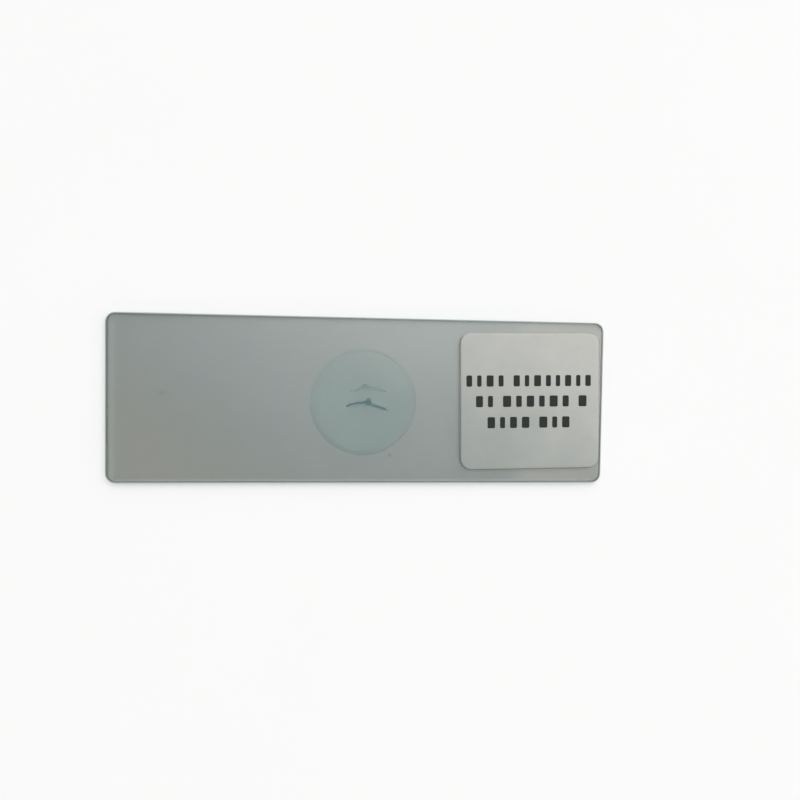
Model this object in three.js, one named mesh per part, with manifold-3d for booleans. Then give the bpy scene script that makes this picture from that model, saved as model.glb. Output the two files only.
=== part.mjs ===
// A prepared microscope slide: a glass slide that carries a round cover glass over two curled leaf peels in
// resin, and an almost square paper label near one end. It lies on its back face.
// Millimetres, +Z up. The origin is under the centre of the slide, +X runs along it towards the label.
import * as THREE from 'three';
import { mergeVertices } from 'three/addons/utils/BufferGeometryUtils.js';
import Module from 'manifold-3d';

const wasm = await Module();
wasm.setup();

// ---- driving dimensions -------------------------------------------------------------------------------

const slideLength = 76.2;
const slideWidth = 25.4;
const slideThickness = 1;
const slideCornerRadius = 1.5;
const slideEdgeBevel = 0.2; // the ground edge, above and below

const coverRadius = 7.9;
const coverThickness = 0.16;
const coverX = 0.13; // its centre, from the slide's centre
const coverY = -0.16;

const resinThickness = 0.1; // between the slide and the cover glass
const resinRim = 0.3; // how far it creeps out on the slide
const resinClimb = 0.11; // how far it climbs the cover glass's edge

const labelLength = 22.35; // along the slide
const labelWidth = 21.35;
const labelThickness = 0.1;
const labelCornerRadius = 1.8;
const labelEndGap = 0.65; // from the label to the slide's end
const labelY = 0.17; // off the slide's long centre line
const labelTurn = THREE.MathUtils.degToRad(1.1);

// The two strips of leaf skin stand on edge in the resin. Their courses are measured from the centre of the
// cover glass. Each has one fold, a crumpled lump that bulges to one side of the strip.
const lowerPeel = {
  course: [[-2.7, -0.78], [-1.2, -0.22], [0.5, -0.13], [2.3, -0.75], [3.95, -1.32]],
  width: 0.3,
  foldFromStart: 3.45, // along the strip
  foldHeight: 0.68,
  foldLength: 0.42,
};
const upperPeel = {
  course: [[-1.8, 1.68], [-0.4, 2.13], [0.9, 2.2], [2.4, 2.08], [3.5, 1.72]],
  width: 0.26,
  foldFromStart: 2.05,
  foldHeight: 0.4,
  foldLength: 0.42,
};
const peelEndBluntness = 6; // higher ends a strip more squarely

// how finely the round shapes are cut
const cornerSteps = 6;
const bevelSteps = 2;
const discSteps = 96;
const rimSteps = 4;
const peelSteps = 36;
const weldDistance = 1e-5;

// ---- places that follow from the dimensions -----------------------------------------------------------

const slideTop = slideThickness;
const coverUnderside = slideTop + resinThickness;
const coverTop = coverUnderside + coverThickness;
const resinTop = Math.min(coverUnderside + resinClimb, coverTop);
const labelX = slideLength / 2 - labelEndGap - labelLength / 2;

// ---- helpers ------------------------------------------------------------------------------------------

function roundedRectangle(length, width, radius) {
  const x = length / 2 - radius;
  const y = width / 2 - radius;
  const shape = new THREE.Shape();
  shape.absarc(x, y, radius, 0, Math.PI / 2);
  shape.absarc(-x, y, radius, Math.PI / 2, Math.PI);
  shape.absarc(-x, -y, radius, Math.PI, 1.5 * Math.PI);
  shape.absarc(x, -y, radius, 1.5 * Math.PI, 2 * Math.PI);
  return shape;
}

// The outline of a strip seen from above: it tapers to its two ends and has one fold.
function peelOutline({ course, width, foldFromStart, foldHeight, foldLength }) {
  const curve = new THREE.SplineCurve(course.map(([x, y]) => new THREE.Vector2(x, y)));
  const length = curve.getLength();
  const foldSide = [];
  const plainSide = [];
  for (let i = 0; i <= peelSteps; i += 1) {
    const along = i / peelSteps;
    const middle = curve.getPointAt(along);
    const tangent = curve.getTangentAt(along);
    const across = new THREE.Vector2(-tangent.y, tangent.x);
    const taper = Math.sqrt(1 - Math.abs(2 * along - 1) ** peelEndBluntness);
    const fold = foldHeight * Math.exp(-(((along * length - foldFromStart) / foldLength) ** 2));
    foldSide.push(middle.clone().addScaledVector(across, taper * (width / 2 + fold)));
    if (i > 0 && i < peelSteps) {
      plainSide.unshift(middle.clone().addScaledVector(across, -taper * width / 2));
    }
  }
  return new THREE.Shape([...foldSide, ...plainSide]);
}

// A flat body of a given outline.
function upright(shape, bottom, top) {
  const options = { depth: top - bottom, bevelEnabled: false, curveSegments: cornerSteps };
  return new THREE.ExtrudeGeometry(shape, options).translate(0, 0, bottom);
}

// A round body from a profile of [radius, height] points.
function turned(profile) {
  const points = profile.map(([radius, height]) => new THREE.Vector2(radius, height));
  return new THREE.LatheGeometry(points, discSteps).rotateX(Math.PI / 2);
}

function toSolid(geometry) {
  const bare = geometry.clone();
  bare.deleteAttribute('normal');
  bare.deleteAttribute('uv');
  const welded = mergeVertices(bare, weldDistance);
  return new wasm.Manifold(new wasm.Mesh({
    numProp: 3,
    vertProperties: new Float32Array(welded.attributes.position.array),
    triVerts: new Uint32Array(welded.index.array),
  }));
}

function toGeometry(solid) {
  const mesh = solid.getMesh();
  const geometry = new THREE.BufferGeometry();
  geometry.setAttribute('position', new THREE.BufferAttribute(mesh.vertProperties, 3));
  geometry.setIndex(new THREE.BufferAttribute(mesh.triVerts, 1));
  geometry.computeVertexNormals();
  return geometry;
}

const group = new THREE.Group();

function add(parent, name, geometry, material) {
  const mesh = new THREE.Mesh(geometry, new THREE.MeshStandardMaterial(material));
  mesh.name = name;
  parent.add(mesh);
  return mesh;
}

// ---- glass slide --------------------------------------------------------------------------------------

const slideBody = new THREE.ExtrudeGeometry(roundedRectangle(slideLength, slideWidth, slideCornerRadius), {
  depth: slideThickness - 2 * slideEdgeBevel,
  curveSegments: cornerSteps,
  bevelThickness: slideEdgeBevel,
  bevelSize: slideEdgeBevel,
  bevelOffset: -slideEdgeBevel,
  bevelSegments: bevelSteps,
}).translate(0, 0, slideEdgeBevel);
add(group, 'glass_slide', slideBody, {
  color: '#9aa19d', roughness: 0.05, metalness: 0, transparent: true, opacity: 0.6,
});

// ---- the mount: peels, resin and cover glass ----------------------------------------------------------

const mount = new THREE.Group();
mount.position.set(coverX, coverY, 0);
group.add(mount);

const lowerOutline = peelOutline(lowerPeel);
const upperOutline = peelOutline(upperPeel);
add(mount, 'lower_leaf_peel', upright(lowerOutline, slideTop, coverUnderside), {
  color: '#5b716f', roughness: 0.7, metalness: 0,
});
add(mount, 'upper_leaf_peel', upright(upperOutline, slideTop, coverUnderside), {
  color: '#7d8f8c', roughness: 0.7, metalness: 0,
});

// The resin fills the space round the peels, and its rim rises in a hollow curve to the cover glass's edge.
const rim = [];
for (let i = 0; i <= rimSteps; i += 1) {
  const angle = (i / rimSteps) * Math.PI / 2;
  rim.push([
    coverRadius + resinRim * (1 - Math.sin(angle)),
    resinTop - (resinTop - slideTop) * Math.cos(angle),
  ]);
}
const resinProfile = [[0, slideTop], ...rim, [coverRadius, coverUnderside], [0, coverUnderside]];
const cutBottom = slideTop - resinThickness;
const cutTop = coverUnderside + resinThickness;
const resin = toSolid(turned(resinProfile))
  .subtract(toSolid(upright(lowerOutline, cutBottom, cutTop)))
  .subtract(toSolid(upright(upperOutline, cutBottom, cutTop)));
add(mount, 'mounting_medium', toGeometry(resin), {
  color: '#8fa5a0', roughness: 0.1, metalness: 0, transparent: true, opacity: 0.5,
});

const coverProfile = [
  [0, coverUnderside],
  [coverRadius, coverUnderside],
  [coverRadius, coverTop],
  [0, coverTop],
];
add(mount, 'cover_glass', turned(coverProfile), {
  color: '#b4bdb9', roughness: 0.05, metalness: 0, transparent: true, opacity: 0.4,
});

// ---- paper label --------------------------------------------------------------------------------------

const labelOutline = roundedRectangle(labelLength, labelWidth, labelCornerRadius);
const label = add(group, 'paper_label', upright(labelOutline, 0, labelThickness), {
  color: '#c1c0ba', roughness: 0.85, metalness: 0,
});
label.position.set(labelX, labelY, slideTop);
label.rotation.z = labelTurn;

export default group;
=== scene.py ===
# Looks for a prepared microscope slide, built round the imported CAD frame. Metres, +Z up.
import math

import bpy
from mathutils import Matrix, Vector, noise


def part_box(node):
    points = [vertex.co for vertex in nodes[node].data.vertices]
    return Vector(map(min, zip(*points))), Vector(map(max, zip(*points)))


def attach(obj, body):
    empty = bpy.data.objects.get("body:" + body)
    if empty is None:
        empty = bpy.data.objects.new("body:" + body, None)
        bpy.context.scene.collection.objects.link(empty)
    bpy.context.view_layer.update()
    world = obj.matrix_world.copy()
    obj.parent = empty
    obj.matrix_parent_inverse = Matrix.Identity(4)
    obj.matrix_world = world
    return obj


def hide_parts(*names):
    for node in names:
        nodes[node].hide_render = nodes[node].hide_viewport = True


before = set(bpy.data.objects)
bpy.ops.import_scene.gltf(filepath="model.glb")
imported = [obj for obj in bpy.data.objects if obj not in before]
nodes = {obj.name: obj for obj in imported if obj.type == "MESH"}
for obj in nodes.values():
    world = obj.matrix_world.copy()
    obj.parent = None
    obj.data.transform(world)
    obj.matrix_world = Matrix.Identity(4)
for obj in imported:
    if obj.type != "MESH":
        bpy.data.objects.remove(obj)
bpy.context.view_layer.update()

MM = 0.001
scene = bpy.context.scene
scene.view_settings.view_transform = "Standard"

# These corners are metres.
slide_low, slide_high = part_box("glass_slide")
cover_low, cover_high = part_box("cover_glass")
label_low, label_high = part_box("paper_label")

# All lengths below are millimetres, up to where a mesh or a material takes them.
slide_top = slide_high.z / MM
cover_underside = cover_low.z / MM
cover_centre = (cover_low + cover_high) / 2 / MM
cover_radius = (cover_high.x - cover_low.x) / 2 / MM
label_top = label_high.z / MM
label_centre = (label_low + label_high) / 2 / MM

LAYER_GAP = 0.003  # keeps layers that touch from sharing one face
LABEL_TURN = math.radians(1.1)
LABEL_CORNER = 1.8


def label_sides():
    """The label's length and width, worked back from the box round it, in which it lies turned."""
    c, s = math.cos(LABEL_TURN), math.sin(LABEL_TURN)
    reach = [(label_high[k] - label_low[k]) / MM - 2 * LABEL_CORNER for k in (0, 1)]
    return [(reach[k] * c - reach[1 - k] * s) / (c * c - s * s) + 2 * LABEL_CORNER for k in (0, 1)]


label_length, label_width = label_sides()


# ---- helpers for materials ----------------------------------------------------------------------------

def start_material(name):
    material = bpy.data.materials.new(name)
    material.use_nodes = True
    tree = material.node_tree
    tree.nodes.clear()
    return material, tree


def node(tree, kind, inputs=None, **settings):
    """Adds a shader node. Each input is a plain value or another node's output."""
    made = tree.nodes.new("ShaderNode" + kind)
    for key, value in settings.items():
        setattr(made, key, value)
    for key, value in (inputs or {}).items():
        if isinstance(value, bpy.types.NodeSocket):
            tree.links.new(value, made.inputs[key])
        else:
            made.inputs[key].default_value = value
    return made


def finish_material(tree, surface):
    node(tree, "OutputMaterial", {"Surface": surface})


def finish_opaque(tree, colour, roughness, specular=0.5, relief=None):
    """Ends a material that nothing shows through. relief is a bumped normal."""
    inputs = {"Base Color": colour, "Roughness": roughness, "Specular IOR Level": specular}
    if relief is not None:
        inputs["Normal"] = relief
    finish_material(tree, node(tree, "BsdfPrincipled", inputs).outputs[0])


def rgb(colour):
    return (*colour, 1)


def maths(tree, operation, first, second=0):
    return node(tree, "Math", {0: first, 1: second}, operation=operation).outputs[0]


def vector_maths(tree, operation, first, second=(0, 0, 0)):
    """Gives a vector, or a plain value from DOT_PRODUCT and LENGTH."""
    made = node(tree, "VectorMath", {0: first, 1: second}, operation=operation)
    return made.outputs["Value" if operation in ("DOT_PRODUCT", "LENGTH") else "Vector"]


def axes(tree, vector):
    """A vector's X, Y and Z."""
    return node(tree, "SeparateXYZ", {0: vector}).outputs


def own_place(tree):
    """A surface point's place in its piece's own frame, in metres."""
    return node(tree, "TexCoord").outputs["Object"]


def face_normal(tree):
    return node(tree, "NewGeometry").outputs["Normal"]


def level_offset(tree, centre, stretch=(1, 1)):
    """A surface point's level offset in metres from a centre in millimetres, stretched along x and y."""
    offset = vector_maths(tree, "SUBTRACT", own_place(tree), (centre[0] * MM, centre[1] * MM, 0))
    return vector_maths(tree, "MULTIPLY", offset, (*stretch, 0))


def patches(tree, size, detail=2.0, stretch=(1, 1, 1)):
    """Cloudy noise whose features are about size millimetres across."""
    scale = [s / (size * MM) for s in stretch]
    fitted = node(tree, "Mapping", {"Vector": own_place(tree), "Scale": scale}).outputs[0]
    inputs = {"Vector": fitted, "Scale": 1.0, "Detail": detail, "Roughness": 0.6}
    return node(tree, "TexNoise", inputs).outputs["Fac"]


def ranged(tree, value, low, high, to_low, to_high, smooth=False):
    """Goes from to_low to to_high while value goes from low to high, and stays level beyond."""
    ends = {"Value": value, "From Min": low, "From Max": high, "To Min": to_low, "To Max": to_high}
    curve = "SMOOTHSTEP" if smooth else "LINEAR"
    return node(tree, "MapRange", ends, interpolation_type=curve).outputs["Result"]


def mottled(tree, size, low, high, most=1, detail=2.0, stretch=(1, 1, 1), smooth=False):
    """Patches that run from 0, where their noise is low, to most, where it is high."""
    return ranged(tree, patches(tree, size, detail, stretch), low, high, 0, most, smooth)


def blended(tree, share, first, second):
    """first where share is 0, second where it is 1."""
    made = node(tree, "Mix", {0: share}, data_type="RGBA")
    for socket, colour in ((made.inputs[6], first), (made.inputs[7], second)):
        if isinstance(colour, bpy.types.NodeSocket):
            tree.links.new(colour, socket)
        else:
            socket.default_value = rgb(colour)
    return made.outputs[2]


def slope(tree, gentle, steep):
    """0 on level faces, 1 on faces that lean as far as steep, both given as the normal's rise."""
    level = maths(tree, "ABSOLUTE", axes(tree, face_normal(tree))["Z"])
    return ranged(tree, level, gentle, steep, 0, 1)


def bumped(tree, height, depth):
    """A normal bumped by height, where depth is how high the bumps stand in millimetres."""
    return node(tree, "Bump", {"Height": height, "Strength": 1.0, "Distance": depth * MM}).outputs[0]


def lets_lamps(tree, solid, tint):
    """solid for all rays but those from lamps, which go through as tinted light."""
    lamp = node(tree, "BsdfTransparent", {"Color": rgb(tint)}).outputs[0]
    in_shadow = node(tree, "LightPath").outputs["Is Shadow Ray"]
    return node(tree, "MixShader", {0: in_shadow, 1: solid, 2: lamp}).outputs[0]


def clear(name, colour, lamp_tint, ior, relief=None):
    """Smooth see-through stuff that refracts, and that lets lamp light through as tinted light. colour and
    relief are functions that add their nodes to the tree."""
    material, tree = start_material(name)
    inputs = {"Base Color": colour(tree), "Roughness": 0, "IOR": ior, "Transmission Weight": 1.0}
    if relief:
        inputs["Normal"] = relief(tree)
    solid = node(tree, "BsdfPrincipled", inputs).outputs[0]
    finish_material(tree, lets_lamps(tree, solid, lamp_tint))
    return material


# ---- the slide's glass --------------------------------------------------------------------------------

GLASS = (0.547, 0.58, 0.574)
GLASS_WARM = (0.563, 0.573, 0.548)
# painted light: the next two make the glass paler at the upper right, and paler and warm by the label's end
GLASS_UPPER_RIGHT_LIT = (0.602, 0.632, 0.626)
GLASS_LABEL_END = (0.747, 0.712, 0.676)
GLASS_STAIN = (0.503, 0.534, 0.528)
# the next three are painted light, painted shade and painted light, for the thin lines inside the edges
GLASS_LIT = (0.69, 0.715, 0.705)
GLASS_SHADED = (0.45, 0.465, 0.46)
GLASS_END_LIT = (0.9, 0.92, 0.9)
GLASS_LAMP = (0.74, 0.757, 0.752)
GLASS_IOR = 1.52
GLASS_WAVE_SIZE = 5  # its surface is very slightly wavy
GLASS_WAVE_DEPTH = 0.0008

WARMER_BY = (-0.031, -0.044)  # how the measure of the warmer lower left grows per millimetre along x and y
WARM_UNEVEN = 0.18  # how far clouds raise or lower it
WARM_RANGE = (0.4, 1.45)  # the measure at which the warmth sets in, and at which it is full
PALER_BY = (0.025, 0.08)  # and how the measure of the painted light at the upper right grows, which makes the glass paler there
PALER_START = -0.325
PALE_FULL = 1.2
LABEL_END_X = (22, 27)  # from where to where the glass turns to the label end's colour: painted light, paler and warm
LABEL_END_SHARE = 0.5
STAIN_AT = (-29.85, 0.85)  # from the slide's centre
STAIN_REACH = (0.1, 1.1)
STAIN_SQUEEZE = (1, 2)  # along x and y

# The thin lines of painted shade and painted light inside the slide's edges: how far in from the edge each
# starts to fade, and where it ends.
END_LINE = (0.3, 0.6)
BACK_LINE = (0.25, 0.5)
BACK_LINE_FADE_X = (5, 25)  # from where to where the back's painted shade fades to its least share
BACK_LINE_LEAST = 0.5
LEFT_LINE = (0.3, 0.55)
LEFT_LINE_SHARE = 0.8
LEFT_GLOW = (0.65, 1.9)
LEFT_GLOW_SHARE = 0.42
FRONT_GLOW = (0.3, 0.75)
FRONT_GLOW_SHARE = 0.8


def edge_line(tree, value, edge, inward, line, most=1):
    """most at the slide's edge, and 0 past the line. inward is 1 or -1, the way in along the axis."""
    full, gone = (edge + inward * distance * MM for distance in line)
    return ranged(tree, value, full, gone, most, 0, smooth=True)


def glass_colour(tree):
    """Cool grey, warmer towards the lower left, with one faint stain. Painted light makes it paler at the
    upper right, and paler and warm by the label's end. Inside its edges run painted lines: painted shade
    at the back and the left, painted light beside the left's, and along the front and the label's end."""
    place = own_place(tree)
    level = axes(tree, place)
    x, y = level["X"], level["Y"]

    def grown(by):
        return vector_maths(tree, "DOT_PRODUCT", place, (by[0] / MM, by[1] / MM, 0))

    clouds = patches(tree, size=9, detail=3, stretch=(1, 1.8, 1))
    uneven = ranged(tree, clouds, 0.3, 0.7, -WARM_UNEVEN, WARM_UNEVEN)
    towards_lower_left = maths(tree, "ADD", grown(WARMER_BY), uneven)
    film = blended(tree, ranged(tree, towards_lower_left, *WARM_RANGE, 0, 1, smooth=True), GLASS, GLASS_WARM)
    # painted light: paler towards the upper right
    pale = maths(tree, "ADD", grown(PALER_BY), PALER_START)
    film = blended(tree, ranged(tree, pale, 0, PALE_FULL, 0, 1), film, GLASS_UPPER_RIGHT_LIT)
    turn_from, turn_to = (end * MM for end in LABEL_END_X)
    # painted light: paler and warm towards the label's end
    by_label = ranged(tree, x, turn_from, turn_to, 0, LABEL_END_SHARE, smooth=True)
    film = blended(tree, by_label, film, GLASS_LABEL_END)

    off_stain = vector_maths(tree, "LENGTH", level_offset(tree, STAIN_AT, STAIN_SQUEEZE))
    stain_heart, stain_rim = (reach * MM for reach in STAIN_REACH)
    stained = ranged(tree, off_stain, stain_heart, stain_rim, 1, 0, smooth=True)
    film = blended(tree, stained, film, GLASS_STAIN)

    # painted light along the label's end
    film = blended(tree, edge_line(tree, x, slide_high.x, -1, END_LINE), film, GLASS_END_LIT)
    # painted shade along the back
    fade_from, fade_to = (end * MM for end in BACK_LINE_FADE_X)
    fades = ranged(tree, x, fade_from, fade_to, 1, BACK_LINE_LEAST)
    at_back = edge_line(tree, y, slide_high.y, -1, BACK_LINE)
    film = blended(tree, maths(tree, "MULTIPLY", at_back, fades), film, GLASS_SHADED)
    # painted light beside the left edge and along the front
    left_glow = edge_line(tree, x, slide_low.x, 1, LEFT_GLOW, LEFT_GLOW_SHARE)
    front_glow = edge_line(tree, y, slide_low.y, 1, FRONT_GLOW, FRONT_GLOW_SHARE)
    film = blended(tree, maths(tree, "MAXIMUM", left_glow, front_glow), film, GLASS_LIT)
    # painted shade along the left edge
    at_left = edge_line(tree, x, slide_low.x, 1, LEFT_LINE, LEFT_LINE_SHARE)
    return blended(tree, at_left, film, GLASS_SHADED)


def glass_relief(tree):
    return bumped(tree, patches(tree, GLASS_WAVE_SIZE, detail=1), GLASS_WAVE_DEPTH)


slide_glass = clear("slide_glass", glass_colour, GLASS_LAMP, GLASS_IOR, glass_relief)


# ---- ground and cut edges -----------------------------------------------------------------------------

# A pair of colours is the deep and the pale one of the tool's grain. The bevels' pair is darker by painted
# shade. The bevels at the back and the front get more painted shade, and the label's end painted light.
BEVEL_SHADED_GRAIN = ((0.28, 0.31, 0.3), (0.33, 0.36, 0.35))
SLIDE_SIDE_GRAIN = ((0.4, 0.47, 0.445), (0.5, 0.565, 0.54))
COVER_SIDE_SHADED_GRAIN = ((0.28, 0.34, 0.325), (0.35, 0.41, 0.395))  # darker: painted shade, for the dark ring round the cover glass
BACK_BEVEL_SHADE = (0.255, 0.268, 0.263)
FRONT_BEVEL_SHADE = (0.235, 0.259, 0.251)
END_BEVEL_LIT = (0.43, 0.47, 0.455)
END_SIDE_LIT = (0.62, 0.68, 0.655)
BEVEL_LEAN = (0.2, 0.6)  # how far a face leans to the back or the front where that painted shade sets in and is full
END_FADE = (0.4, 0.2)  # how far in from the label's end its painted light starts, and where it is full
EDGE_LAMP = (0.8, 0.85, 0.83)
EDGE_ROUGHNESS = 0.5


def ground_glass(name, side_grain):
    """Ground or cut sides with the tool's grain, between bevels darkened by painted shade, darkest at the
    front and the back. Painted light makes all of the edge paler at the label's end."""
    material, tree = start_material(name)
    grain = mottled(tree, size=0.12, low=0.35, high=0.65, detail=3)
    leans = axes(tree, face_normal(tree))["Y"]
    least, most = BEVEL_LEAN
    bevel = blended(tree, grain, *BEVEL_SHADED_GRAIN)
    # painted shade on the bevels that lean to the back and the front
    bevel = blended(tree, ranged(tree, leans, least, most, 0, 1), bevel, BACK_BEVEL_SHADE)
    bevel = blended(tree, ranged(tree, leans, -most, -least, 1, 0), bevel, FRONT_BEVEL_SHADE)
    pale_from, pale_full = (slide_high.x - distance * MM for distance in END_FADE)
    at_end = ranged(tree, axes(tree, own_place(tree))["X"], pale_from, pale_full, 0, 1)
    # painted light at the label's end
    bevel = blended(tree, at_end, bevel, END_BEVEL_LIT)
    side = blended(tree, at_end, blended(tree, grain, *side_grain), END_SIDE_LIT)
    colour = blended(tree, slope(tree, gentle=0.6, steep=0.3), bevel, side)
    relief = bumped(tree, patches(tree, size=0.08), depth=0.004)
    inputs = {"Base Color": colour, "Roughness": EDGE_ROUGHNESS, "Normal": relief}
    solid = node(tree, "BsdfPrincipled", inputs).outputs[0]
    finish_material(tree, lets_lamps(tree, solid, EDGE_LAMP))
    return material


ground_edge = ground_glass("ground_edge", SLIDE_SIDE_GRAIN)
cover_edge = ground_glass("cover_edge", COVER_SIDE_SHADED_GRAIN)


# ---- cover glass and resin ----------------------------------------------------------------------------

COVER_CLEAN = (0.99, 0.995, 0.995)
COVER_SMEARED = (0.97, 0.98, 0.98)
COVER_IOR = 1.06  # low, like the resin's, so that the thin cemented stack stays clear
RESIN_IOR = 1.03

RESIN_FILM = (0.935, 0.983, 0.974)
RESIN_STREAK = (0.92, 0.973, 0.964)
RESIN_THIN = (0.967, 0.983, 0.962)
# painted shade round the border and on the sloping rim
RESIN_BORDER_SHADE = (0.89, 0.935, 0.93)
RESIN_RIM_SHADE = (0.92, 0.957, 0.952)
RESIN_LAMP = (0.98, 0.995, 0.996)
THINNER_TOWARDS = (0.3, 0.95)  # where the film gets thinner, along x and y
THINNER_FROM = 0.3  # this and the next two are shares of the cover glass's radius
BORDER_REACH = (0.935, 0.985)  # from where to where the border's painted shade sets in
BORDER_LEAN = (0.4, 0.9)  # how far out along the axis it grows from its least to its full share
BORDER_LEAST = 0.2
BORDER_AXIS = math.radians(65)  # the border's painted shade is darkest at this axis's two ends


def cover_colour(tree):
    smears = mottled(tree, size=4, low=0.4, high=0.7, detail=3, smooth=True)
    return blended(tree, smears, COVER_CLEAN, COVER_SMEARED)


def resin_colour(tree):
    """Teal film with faint streaks, thinner at the top, with painted shade round its border, most of all at
    two opposite sides. Its sloping rim has painted shade of its own."""
    def out(share):
        return share * cover_radius * MM

    streaks = mottled(tree, size=3.5, low=0.35, high=0.7, detail=3, smooth=True)
    film = blended(tree, streaks, RESIN_FILM, RESIN_STREAK)
    off_centre = level_offset(tree, cover_centre)
    thinner = vector_maths(tree, "DOT_PRODUCT", off_centre, (*THINNER_TOWARDS, 0))
    film = blended(tree, ranged(tree, thinner, out(THINNER_FROM), out(1), 0, 1), film, RESIN_THIN)

    reach = vector_maths(tree, "LENGTH", off_centre)
    # painted shade round the border
    border = ranged(tree, reach, out(BORDER_REACH[0]), out(BORDER_REACH[1]), 0, 1, smooth=True)
    heading = (math.cos(BORDER_AXIS), math.sin(BORDER_AXIS), 0)
    either_way = maths(tree, "ABSOLUTE", vector_maths(tree, "DOT_PRODUCT", off_centre, heading))
    share = ranged(tree, either_way, out(BORDER_LEAN[0]), out(BORDER_LEAN[1]), BORDER_LEAST, 1)
    film = blended(tree, maths(tree, "MULTIPLY", border, share), film, RESIN_BORDER_SHADE)
    # painted shade on the sloping rim
    return blended(tree, slope(tree, gentle=0.995, steep=0.7), film, RESIN_RIM_SHADE)


cover_glass = clear("cover_glass", cover_colour, COVER_CLEAN, COVER_IOR)
resin = clear("resin", resin_colour, RESIN_LAMP, RESIN_IOR)


# ---- leaf skin ----------------------------------------------------------------------------------------

DARK_LEAF = ((0.15, 0.204, 0.199), (0.09, 0.144, 0.139))  # where it is thin, and where it is thick
PALE_LEAF = ((0.223, 0.262, 0.258), (0.192, 0.231, 0.226))
CELL_SIZE = 0.06
CELL_WALL = (0.02, 0.14)  # from a wall's middle, in cells: where it starts to fade, and where it ends
CELL_WALL_SHADE = 0.5  # the cell walls' colour, as a share of the thick tissue's
CELL_WALL_SHARE = 0.6  # how much of that colour shows

# The lower strip's knot, from the cover's centre.
KNOT_AT = (0.62, -0.08)
KNOT_REACH = (0.3, 0.75)
KNOT_HEART = (0.096, 0.155, 0.146)
KNOT_TIP = (0.195, 0.25, 0.24)
KNOT_TIP_Y = (0.15, 0.42)  # from where to where it turns to the tip's paler colour


def leaf_skin(name, thin, thick, knotted=False):
    """Leaf skin: walls of cells show as a fine net in a tissue of uneven thickness. A knot has a tint of its
    own in its folded heart, and its tip is paler."""
    material, tree = start_material(name)
    place = own_place(tree)
    inputs = {"Vector": place, "Scale": 1 / (CELL_SIZE * MM)}
    from_wall = node(tree, "TexVoronoi", inputs, feature="DISTANCE_TO_EDGE").outputs["Distance"]
    walls = ranged(tree, from_wall, *CELL_WALL, CELL_WALL_SHARE, 0)
    uneven = mottled(tree, size=0.5, low=0.35, high=0.65, detail=3)
    tissue = blended(tree, uneven, thin, thick)
    if knotted:
        heart = (cover_centre.x + KNOT_AT[0], cover_centre.y + KNOT_AT[1])
        off_heart = vector_maths(tree, "LENGTH", level_offset(tree, heart))
        near, far = (reach * MM for reach in KNOT_REACH)
        folded = ranged(tree, off_heart, near, far, 1, 0, smooth=True)
        tissue = blended(tree, folded, tissue, KNOT_HEART)
        foot, top = ((cover_centre.y + y) * MM for y in KNOT_TIP_Y)
        at_tip = ranged(tree, axes(tree, place)["Y"], foot, top, 0, 1, smooth=True)
        tissue = blended(tree, at_tip, tissue, KNOT_TIP)
    net = blended(tree, walls, tissue, [c * CELL_WALL_SHADE for c in thick])
    finish_opaque(tree, net, roughness=0.85, specular=0.15, relief=bumped(tree, from_wall, depth=0.01))
    return material


dark_leaf = leaf_skin("dark_leaf", *DARK_LEAF, knotted=True)
pale_leaf = leaf_skin("pale_leaf", *PALE_LEAF)


# ---- label paper, its print and dried resin -----------------------------------------------------------

PAPER = (0.446, 0.449, 0.422)
PAPER_PULP = (0.42, 0.423, 0.397)
PAPER_SHADE_AND_SOIL = (0.27, 0.292, 0.276)
PAPER_FIBRE = (0.36, 0.365, 0.34)
PAPER_RIM_SHADE = (0.22, 0.245, 0.235)
PAPER_LOWER_LEFT_SHADE = (0.1, 0.11, 0.106)
SHADE_AND_SOIL_TOWARDS = (-0.5, -0.87, 0)
SHADE_AND_SOIL_RANGE = (-26, 2)  # how far that way, from the slide's centre, the painted shade and soil set in and are full
SHADE_AND_SOIL_UNEVEN = 3  # how far clouds shift that
SHADE_FACING = (-0.8, -0.6, 0)
SHADE_LEAN = (0.04, 0.3)  # how far an edge leans that way where the painted shade sets in and is full
INK = (0.014, 0.017, 0.015)
INK_THIN = (0.035, 0.04, 0.036)
DRIED_DEEP = (0.2, 0.221, 0.213)
DRIED_PALE = (0.226, 0.249, 0.24)


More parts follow.
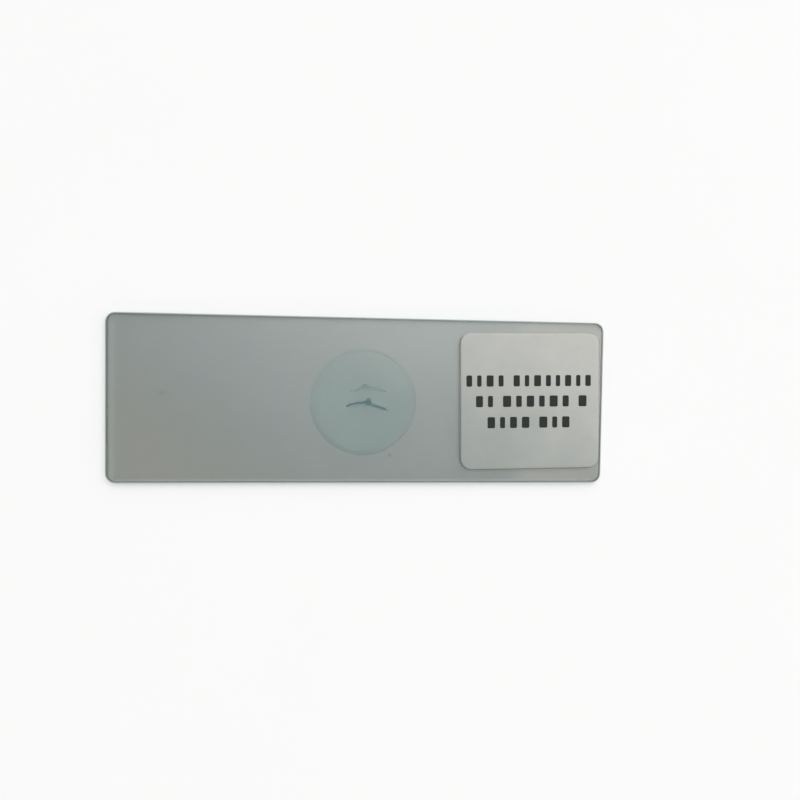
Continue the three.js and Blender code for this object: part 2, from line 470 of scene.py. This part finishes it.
def paper():
    """Smooth label paper: cloudy pulp, fibres, painted shade and some soil on its lower part, and painted
    shade on its rim, darkest on its left and lower edges.
    """
    material, tree = start_material("label_paper")
    pulp = mottled(tree, size=1.6, low=0.3, high=0.7, detail=4)
    sheet = blended(tree, pulp, PAPER, PAPER_PULP)
    # painted shade, with some soil, darkens the paper towards the lower left
    towards_lower_left = vector_maths(tree, "DOT_PRODUCT", own_place(tree), SHADE_AND_SOIL_TOWARDS)
    uneven = ranged(tree, patches(tree, size=8), 0.3, 0.7, -SHADE_AND_SOIL_UNEVEN * MM, SHADE_AND_SOIL_UNEVEN * MM)
    shade_and_soil_reach = maths(tree, "ADD", towards_lower_left, uneven)
    shade_and_soil_from, shade_and_soil_full = (distance * MM for distance in SHADE_AND_SOIL_RANGE)
    shaded_and_soiled = blended(tree, ranged(tree, shade_and_soil_reach, shade_and_soil_from, shade_and_soil_full, 0, 1, smooth=True), sheet, PAPER_SHADE_AND_SOIL)
    fibres = mottled(tree, size=0.16, low=0.5, high=0.72, most=0.3, detail=3, stretch=(0.4, 1.3, 1))
    flecked = blended(tree, fibres, shaded_and_soiled, PAPER_FIBRE)
    # painted shade on the paper's sloping rim, standing in for the shadow round the label
    rim_shaded = blended(tree, slope(tree, gentle=0.93, steep=0.3), flecked, PAPER_RIM_SHADE)
    facing = vector_maths(tree, "DOT_PRODUCT", face_normal(tree), SHADE_FACING)
    # painted shade on the edges that face the lower left
    colour = blended(tree, ranged(tree, facing, *SHADE_LEAN, 0, 1), rim_shaded, PAPER_LOWER_LEFT_SHADE)
    relief = bumped(tree, patches(tree, size=0.12, detail=4, stretch=(0.5, 1.2, 1)), depth=0.006)
    finish_opaque(tree, colour, roughness=0.55, relief=relief)
    return material


def ink():
    """Toner: nearly black, thinner where the paper's fibres show through."""
    material, tree = start_material("label_ink")
    thin = mottled(tree, size=0.1, low=0.5, high=0.75, detail=4)
    finish_opaque(tree, blended(tree, thin, INK, INK_THIN), roughness=0.75, specular=0.3)
    return material


def dried_resin():
    material, tree = start_material("dried_resin")
    uneven = patches(tree, size=0.15, detail=3)
    finish_opaque(tree, blended(tree, uneven, DRIED_DEEP, DRIED_PALE), roughness=0.4)
    return material


label_paper = paper()
label_ink = ink()

LEVEL_FACE = 0.97  # a face whose normal rises more than this counts as level


def dress(name, material, edge):
    """Puts material on a CAD node's level faces, and edge on the others."""
    mesh = nodes[name].data
    mesh.materials.clear()
    mesh.materials.append(material)
    mesh.materials.append(edge)
    for face in mesh.polygons:
        face.material_index = 0 if abs(face.normal.z) > LEVEL_FACE else 1


dress("glass_slide", slide_glass, ground_edge)
dress("cover_glass", cover_glass, cover_edge)


# ---- helpers for meshes -------------------------------------------------------------------------------

def add_piece(name, points, faces, material, slot, replaces=(), smooth=True, shades=False):
    """Makes a closed mesh from points in millimetres, and seats it on the CAD's only body."""
    mesh = bpy.data.meshes.new(name)
    mesh.from_pydata([tuple(c * MM for c in p) for p in points], [], faces)
    mesh.validate()
    mesh.materials.append(material)
    if smooth:
        mesh.shade_smooth()
    piece = bpy.data.objects.new(name, mesh)
    piece.visible_shadow = shades
    scene.collection.objects.link(piece)
    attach(piece, "root")
    if replaces:
        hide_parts(*replaces)


def stack(rings, first_tip=None, last_tip=None):
    """Points and faces of a body skinned over rings of equal length, with a tip or a cap at each end."""
    count = len(rings[0])
    points = [p for ring in rings for p in ring]
    faces = []
    for r in range(len(rings) - 1):
        for i in range(count):
            j = (i + 1) % count
            faces.append((r * count + i, r * count + j, (r + 1) * count + j, (r + 1) * count + i))
    last = (len(rings) - 1) * count
    if first_tip:
        points.append(first_tip)
        faces += [(len(points) - 1, (i + 1) % count, i) for i in range(count)]
    else:
        faces.append(tuple(reversed(range(count))))
    if last_tip:
        points.append(last_tip)
        faces += [(len(points) - 1, last + i, last + (i + 1) % count) for i in range(count)]
    else:
        faces.append(tuple(last + i for i in range(count)))
    return points, faces


def merged(bodies):
    """Points and faces of several bodies in one mesh."""
    points, faces = [], []
    for new_points, new_faces in bodies:
        faces += [tuple(len(points) + v for v in face) for face in new_faces]
        points += new_points
    return points, faces


def wander(x, y, size, seed):
    """Smooth noise from -1 to 1 whose features are about size millimetres across."""
    return noise.noise(Vector((x / size, y / size, seed)))


def rounded_outline(half_x, half_y, radius, corner_steps, edge_steps=1):
    """Points round a rectangle about 0, from its right side on and counterclockwise, its corners rounded."""
    corners = ((1, 1), (-1, 1), (-1, -1), (1, -1))
    centres = [(x * (half_x - radius), y * (half_y - radius)) for x, y in corners]
    outline = []
    for k, (x, y) in enumerate(centres):
        for i in range(corner_steps + 1):
            angle = math.pi / 2 * (k + i / corner_steps)
            outline.append((x + radius * math.cos(angle), y + radius * math.sin(angle)))
        begin = outline[-1]
        next_x, next_y = centres[(k + 1) % len(centres)]
        run = (next_x - x, next_y - y)
        for i in range(1, edge_steps):
            u = i / edge_steps
            outline.append((begin[0] + run[0] * u, begin[1] + run[1] * u))
    return outline


# ---- resin --------------------------------------------------------------------------------------------

RESIN_SPOKES = 240
RESIN_ROOF_RINGS = (0.3, 0.6, 0.85, 0.97)  # shares of the cover glass's radius
RESIN_FLOOR_RING = 0.5
RIM_STEPS = 6
RIM_HOLLOW = 1.8  # higher gives the rim's slope a deeper hollow
RIM_NARROW = 0.12  # how far the resin creeps out past the cover glass, at its least
RIM_WIDE = 0.35  # and at its most
RIM_WIDE_TOWARDS = math.radians(235)
RIM_RIPPLE = 0.05
RIM_RIPPLES = 3  # higher packs more ripples into the rim
RIM_CLIMB = 0.02  # how far it climbs the cover glass's edge at the least
RIM_CLIMB_GAIN = 0.2  # and how much more for each millimetre of the rim's width

resin_floor = slide_top + LAYER_GAP
resin_roof = cover_underside - LAYER_GAP
resin_wall = cover_radius + LAYER_GAP


def resin_ring(radius_at, height_at):
    """A ring round the cover's centre, its radius and height given by the angle."""
    ring = []
    for i in range(RESIN_SPOKES):
        angle = math.tau * i / RESIN_SPOKES
        radius = radius_at(angle)
        x = cover_centre.x + radius * math.cos(angle)
        y = cover_centre.y + radius * math.sin(angle)
        ring.append((x, y, height_at(angle)))
    return ring


def round_ring(radius, height):
    return resin_ring(lambda angle: radius, lambda angle: height)


def rim_at(angle):
    """How wide the rim is."""
    lean = (1 + math.cos(angle - RIM_WIDE_TOWARDS)) / 2
    x, y = RIM_RIPPLES * math.cos(angle), RIM_RIPPLES * math.sin(angle)
    ripple = RIM_RIPPLE * wander(x, y, size=1.0, seed=4.5)
    return RIM_NARROW + (RIM_WIDE - RIM_NARROW) * lean + ripple


def slope_ring(out):
    """A ring on the rim's hollow slope, out being 0 at the cover glass's edge and 1 at the rim's foot."""
    def height_at(angle):
        climb = cover_underside + RIM_CLIMB_GAIN * rim_at(angle) + RIM_CLIMB
        return resin_floor + (climb - resin_floor) * (1 - out) ** RIM_HOLLOW

    return resin_ring(lambda angle: resin_wall + out * rim_at(angle), height_at)


rings = [round_ring(share * cover_radius, resin_roof) for share in RESIN_ROOF_RINGS]
rings.append(round_ring(resin_wall, resin_roof))
rings += [slope_ring(step / RIM_STEPS) for step in range(RIM_STEPS + 1)]
rings.append(round_ring(cover_radius * RESIN_FLOOR_RING, resin_floor))
points, faces = stack(
    rings,
    first_tip=(cover_centre.x, cover_centre.y, resin_roof),
    last_tip=(cover_centre.x, cover_centre.y, resin_floor),
)
add_piece("resin_film", points, faces, resin, "resin", ["mounting_medium"], smooth=False, shades=True)


# ---- leaf peels ---------------------------------------------------------------------------------------

PEEL_SIDES = 14
PEEL_STEPS = 90
PEEL_BLUNTNESS = 7  # higher ends a strand more squarely
PEEL_LEAST = 0.08  # a strand's width at its very ends, as a share of its own
PEEL_FLATNESS = 0.45  # lower gives a strand a squarer section
PEEL_CLEARANCE = 0.008  # from the resin's roof and floor
PEEL_END_HEIGHT = 0.4  # a strand's height where it has no width left, as a share of its own
PEEL_SWELL = 0.3  # how much its width comes and goes
PEEL_SWELL_SIZE = 0.5
PEEL_DRIFT = 0.04  # how far it strays from its course
PEEL_DRIFT_SIZE = 0.35
PEEL_CRUMPLE = 0.22  # how much each of its sides goes in and out by itself
PEEL_CRUMPLES = (20, 1.3)  # higher packs more of them along it, and round it
PEEL_LOOK_AHEAD = 0.01  # how far along it, each way, its direction is taken

peel_middle = (resin_floor + resin_roof) / 2
peel_reach = (resin_roof - resin_floor) / 2 - PEEL_CLEARANCE


def along(course, t):
    """A point, from the cover's centre, on a smooth curve through the course, t from 0 to 1."""
    spans = len(course) - 1
    at = min(t * spans, spans - 1e-9)
    k = int(at)
    u = at - k
    p = [Vector(course[min(max(k + i, 0), spans)]) for i in (-1, 0, 1, 2)]
    return 0.5 * (
        2 * p[1] + (p[2] - p[0]) * u + (2 * p[0] - 5 * p[1] + 4 * p[2] - p[3]) * u * u
        + (3 * p[1] - p[0] - 3 * p[2] + p[3]) * u ** 3
    )


def strand(course, width, seed, steps=PEEL_STEPS, height=1.0):
    """A curled strip of leaf skin on edge, crumpled along its length. height is its share of the resin's."""
    rings = []
    for i in range(steps + 1):
        t = i / steps
        place = along(course, t)
        ahead = along(course, min(t + PEEL_LOOK_AHEAD, 1)) - along(course, max(t - PEEL_LOOK_AHEAD, 0))
        across = Vector((-ahead.y, ahead.x)).normalized()
        taper = max((1 - abs(2 * t - 1) ** PEEL_BLUNTNESS) ** 0.5, PEEL_LEAST)
        end_height = PEEL_END_HEIGHT + (1 - PEEL_END_HEIGHT) * taper
        # seeds apart, so that swell, drift and crumple don't come and go as one
        swell = 1 + PEEL_SWELL * wander(place.x, place.y, PEEL_SWELL_SIZE, seed)
        drift = PEEL_DRIFT * wander(place.x, place.y, PEEL_DRIFT_SIZE, seed + 7)
        ring = []
        for s in range(PEEL_SIDES):
            turn = math.tau * s / PEEL_SIDES
            u, v = t * PEEL_CRUMPLES[0], s * PEEL_CRUMPLES[1]
            crumple = 1 + PEEL_CRUMPLE * wander(u, v, size=1.0, seed=seed + 3)
            reach = 0.5 * width * swell * taper * crumple * math.cos(turn) + drift
            x = cover_centre.x + place.x + across.x * reach
            y = cover_centre.y + place.y + across.y * reach
            lift = math.copysign(abs(math.sin(turn)) ** PEEL_FLATNESS, math.sin(turn))
            ring.append((x, y, peel_middle + height * peel_reach * end_height * lift))
        rings.append(ring)
    return stack(rings)


LOWER_COURSE = [
    (-2.7, -0.81), (-1.91, -0.46), (-0.92, -0.26), (0.32, -0.19), (0.91, -0.33), (2.2, -0.79), (3.49, -1.22),
]
UPPER_COURSE = [(-1.61, 1.59), (-0.72, 1.96), (-0.03, 2.16), (0.87, 2.11), (2.26, 2.02), (3.45, 1.55)]
# Each strand has its course, its width and its seed. Most have a count of steps as well, and some a height.
lower_strands = [
    strand(LOWER_COURSE, 0.34, 2.0),
    # the knot, from its foot to its tip
    strand([(0.21, -0.24), (0.66, -0.06), (1.16, 0.02)], 0.44, 21.0, 20),
    strand([(0.31, -0.29), (0.71, -0.42), (1.16, -0.39)], 0.26, 25.0, 16),
    strand([(-0.04, -0.16), (0.56, 0.04), (1.21, -0.16)], 0.34, 47.0, 20),
    strand([(0.46, 0.21), (0.76, 0.32), (1.06, 0.21)], 0.2, 49.0, 16),
    strand([(0.41, 0.26), (0.76, 0.48), (1.11, 0.46)], 0.24, 35.0, 16, 0.7),
    strand([(0.86, 0.16), (1.06, 0.36), (1.31, 0.46)], 0.1, 33.0, 16, 0.7),
    # the thicker right half and its frayed end
    strand([(2.16, -0.77), (2.86, -1.02), (3.56, -1.28)], 0.2, 45.0, 24),
    strand([(1.76, -0.53), (2.56, -0.8), (3.46, -1.12)], 0.24, 51.0, 30),
    strand([(3.41, -1.16), (3.71, -1.24), (3.86, -1.18)], 0.07, 27.0, 12, 0.5),
    strand([(3.46, -1.24), (3.71, -1.49), (3.81, -1.74)], 0.06, 29.0, 14, 0.5),
]
upper_strands = [
    strand(UPPER_COURSE, 0.33, 9.0, height=0.4),
    # the peak, and a loose crumb off the left end
    strand([(-0.28, 2.18), (0.27, 2.38), (0.82, 2.16)], 0.42, 31.0, 24, 0.55),
    strand([(0.02, 2.39), (0.32, 2.54), (0.62, 2.39)], 0.22, 41.0, 24, 0.55),
    strand([(-2.03, 1.6), (-1.93, 1.63), (-1.83, 1.62)], 0.14, 37.0, 8, 0.4),
]
add_piece("lower_peel", *merged(lower_strands), dark_leaf, "leaf", ["lower_leaf_peel"])
add_piece("upper_peel", *merged(upper_strands), pale_leaf, "leaf", ["upper_leaf_peel"])


# ---- dried speck --------------------------------------------------------------------------------------

SPECK_AT = (4.23, -8.17)  # from the cover's centre
SPECK_LENGTH = 0.66
SPECK_WIDTH = 0.46
SPECK_LEAN = 0.2
SPECK_WOBBLE = 0.25
SPECK_SIDES = 16
SPECK_RINGS = ((1.0, LAYER_GAP), (0.95, 0.012), (0.6, 0.025))  # share of its size, and height


def speck_outline(share):
    """The drop's outline at a share of its size."""
    c, s = math.cos(SPECK_LEAN), math.sin(SPECK_LEAN)
    outline = []
    for i in range(SPECK_SIDES):
        angle = math.tau * i / SPECK_SIDES
        wobble = share * (1 + SPECK_WOBBLE * wander(math.cos(angle), math.sin(angle), size=0.8, seed=3.0))
        u = 0.5 * SPECK_LENGTH * wobble * math.cos(angle)
        v = 0.5 * SPECK_WIDTH * wobble * math.sin(angle)
        x = cover_centre.x + SPECK_AT[0] + u * c - v * s
        y = cover_centre.y + SPECK_AT[1] + u * s + v * c
        outline.append((x, y))
    return outline


rings = [[(x, y, slide_top + rise) for x, y in speck_outline(share)] for share, rise in SPECK_RINGS]
add_piece("speck", *stack(rings), dried_resin(), "resin")


# ---- paper label --------------------------------------------------------------------------------------

LABEL_CORNER_STEPS = 13
LABEL_EDGE_STEPS = 40
LABEL_LEAST_ROUNDING = 0.12  # of an inner ring's corners, as a share of half its width
LABEL_EDGE_PROFILE = (  # how far in from the outline, and how far below the top
    (0.0, -0.075), (0.0, -0.055), (0.1, -0.032), (0.22, -0.016), (0.38, -0.004),
)
LABEL_FOOT_INSET = 0.03
LABEL_RINGS_FROM = 0.5  # the rings of the cockled top: how far in the first one is
LABEL_RING_GAP = 0.6
LABEL_RINGS = 17
COCKLE_DEPTH = 0.006
COCKLE_SIZE = 5.0
COCKLE_MARGIN = 1.5  # it fades out this close to the edges

label_floor = slide_top + LAYER_GAP
paper_top = label_top - LAYER_GAP


def on_label(x, y):
    """A point given from the label's centre, along the label's own sides."""
    c, s = math.cos(LABEL_TURN), math.sin(LABEL_TURN)
    return label_centre.x + c * x - s * y, label_centre.y + s * x + c * y


def label_ring(inset, height_at):
    """A ring inset from the label's outline, its height given by the place on the label."""
    half_x, half_y = label_length / 2 - inset, label_width / 2 - inset
    radius = max(LABEL_CORNER - inset, half_y * LABEL_LEAST_ROUNDING)
    outline = rounded_outline(half_x, half_y, radius, LABEL_CORNER_STEPS, LABEL_EDGE_STEPS)
    return [(*on_label(x, y), height_at(x, y)) for x, y in outline]


def level_label_ring(inset, height):
    return label_ring(inset, lambda x, y: height)


def cockled_top(x, y):
    """The paper's height, which cockles away from its edges."""
    to_end = (label_length / 2 - abs(x)) / COCKLE_MARGIN
    to_side = (label_width / 2 - abs(y)) / COCKLE_MARGIN
    dip = COCKLE_DEPTH * (1 + wander(x, y, COCKLE_SIZE, seed=1.5))
    return paper_top - dip * min(1, to_end, to_side)


rings = [level_label_ring(LABEL_FOOT_INSET, label_floor)]
rings += [level_label_ring(inset, paper_top + drop) for inset, drop in LABEL_EDGE_PROFILE]
rings += [label_ring(LABEL_RINGS_FROM + LABEL_RING_GAP * k, cockled_top) for k in range(LABEL_RINGS)]
points, faces = stack(rings, last_tip=(*on_label(0, 0), cockled_top(0, 0)))
add_piece("label_sheet", points, faces, label_paper, "label_paper", ["paper_label"])


# ---- print --------------------------------------------------------------------------------------------

# Three lines of plain blocks stand where the label is printed: each line's foot and middle, from the label's
# centre, and its blocks' widths, word by word.
PRINT_LINES = [
    (2.34, -0.16, [[0.9, 0.7, 1.1, 0.8], [1.0, 0.7, 1.1, 0.8, 0.7, 1.0, 0.7, 0.9]]),
    (-0.87, 0.25, [[1.1, 0.8], [1.3, 0.9, 1.2, 0.9, 1.3, 1.0], [1.3]]),
    (-4.18, -0.22, [[1.2, 0.8, 1.1, 1.2], [1.3, 0.8, 1.2]]),
]
BLOCK_HEIGHT = 1.75
BLOCK_GAP = 0.8
WORD_GAP = 1.6
BLOCK_ROUNDING = 0.22
BLOCK_CORNER_STEPS = 4
INK_RISE = 0.004
INK_SINK = 0.02  # into the paper, so that its cockle doesn't part them


def print_block(middle_x, middle_y, width):
    outline = rounded_outline(width / 2, BLOCK_HEIGHT / 2, BLOCK_ROUNDING, BLOCK_CORNER_STEPS)
    placed = [on_label(middle_x + x, middle_y + y) for x, y in outline]
    return stack([[(x, y, paper_top + rise) for x, y in placed] for rise in (-INK_SINK, INK_RISE)])


def print_blocks():
    blocks = []
    for foot, middle, words in PRINT_LINES:
        widths = sum(words, [])
        gaps = BLOCK_GAP * (len(widths) - len(words)) + WORD_GAP * (len(words) - 1)
        x = middle - (sum(widths) + gaps) / 2
        for word in words:
            for width in word:
                blocks.append(print_block(x + width / 2, foot + BLOCK_HEIGHT / 2, width))
                x += width + BLOCK_GAP
            x += WORD_GAP - BLOCK_GAP
    return merged(blocks)


add_piece("print_blocks", *print_blocks(), label_ink, "label_ink", smooth=False)


# ---- floor --------------------------------------------------------------------------------------------

FLOOR_DEEP = (0.828, 0.828, 0.825)
FLOOR_PALE = (0.842, 0.842, 0.839)
FLOOR_HALF = 2  # metres
FLOOR_DROP = 0.03  # below the slide, so that the two don't share one face


def floor_look():
    material, tree = start_material("floor")
    uneven = patches(tree, size=30, detail=3)
    finish_opaque(tree, blended(tree, uneven, FLOOR_DEEP, FLOOR_PALE), roughness=0.9, specular=0.1)
    return material


floor_mesh = bpy.data.meshes.new("floor")
floor_corners = [(-FLOOR_HALF, -FLOOR_HALF, 0), (FLOOR_HALF, -FLOOR_HALF, 0)]
floor_corners += [(FLOOR_HALF, FLOOR_HALF, 0), (-FLOOR_HALF, FLOOR_HALF, 0)]
floor_mesh.from_pydata(floor_corners, [], [(0, 1, 2, 3)])
floor_mesh.materials.append(floor_look())
floor = bpy.data.objects.new("floor", floor_mesh)
floor.location.z = -FLOOR_DROP * MM
scene.collection.objects.link(floor)


# ---- light --------------------------------------------------------------------------------------------

SOFTBOX_TOWARDS = Vector((0.227, 0.53, 0.817)).normalized()
SOFTBOX_FADE = (0.7, 0.98)  # cosines of the angle off its middle, where its light sets in and is full
SOFTBOX_LIGHT = 2.73
CEILING_LIGHT = 0.43
WALL_LIGHT = 0.95
WALL_TOP = (0.42, 0.66)  # sines of the angle above the floor, between which walls turn to ceiling
KEY_AT = (0.46, 0.1, 0.6)  # metres
KEY_SIZE = 0.25
KEY_POWER = 0.577


def studio_world():
    """White walls under a dim ceiling with one wide softbox, whose edge fades."""
    world = bpy.data.worlds.new("studio")
    world.use_nodes = True
    tree = world.node_tree
    tree.nodes.clear()
    direction = node(tree, "TexCoord").outputs["Generated"]
    towards = vector_maths(tree, "DOT_PRODUCT", direction, SOFTBOX_TOWARDS)
    ceiling = ranged(tree, towards, *SOFTBOX_FADE, CEILING_LIGHT, SOFTBOX_LIGHT, smooth=True)
    above_walls = ranged(tree, axes(tree, direction)["Z"], *WALL_TOP, 0, 1, smooth=True)
    layers = {"Factor": above_walls, "A": WALL_LIGHT, "B": ceiling}
    strength = node(tree, "Mix", layers, data_type="FLOAT").outputs[0]
    light = node(tree, "Background", {"Color": (1, 1, 1, 1), "Strength": strength}).outputs[0]
    node(tree, "OutputWorld", {"Surface": light})
    return world


scene.world = studio_world()

key_data = bpy.data.lights.new("key", "AREA")
key_data.shape = "SQUARE"
key_data.size = KEY_SIZE
key_data.energy = KEY_POWER
key = bpy.data.objects.new("key", key_data)
key.location = KEY_AT
key.rotation_euler = Vector(KEY_AT).to_track_quat("Z", "Y").to_euler()
scene.collection.objects.link(key)


# ---- camera -------------------------------------------------------------------------------------------

CAMERA_AIM = Vector((5.838, 0.105, 0)) * MM
CAMERA_DISTANCE = 0.11  # metres
CAMERA_SIDE = math.radians(-107.11)
CAMERA_HEIGHT = math.radians(83.64)
CAMERA_ROLL = math.radians(0.826)
CAMERA_LENS = 31.832
CAMERA_SENSOR = 36
CAMERA_NEAR = 0.01  # metres

camera_data = bpy.data.cameras.new("camera")
camera_data.sensor_width = CAMERA_SENSOR
camera_data.lens = CAMERA_LENS
camera_data.clip_start = CAMERA_NEAR
camera = bpy.data.objects.new("camera", camera_data)
level = math.cos(CAMERA_HEIGHT)
back = Vector((math.sin(CAMERA_SIDE) * level, -math.cos(CAMERA_SIDE) * level, math.sin(CAMERA_HEIGHT)))
across = Vector((0, 1, 0)).cross(back).normalized()
facing = Matrix((across, back.cross(across), back)).transposed().to_4x4()
turn = facing @ Matrix.Rotation(CAMERA_ROLL, 4, "Z")
camera.matrix_world = Matrix.Translation(CAMERA_AIM + CAMERA_DISTANCE * back) @ turn
scene.collection.objects.link(camera)
scene.camera = camera
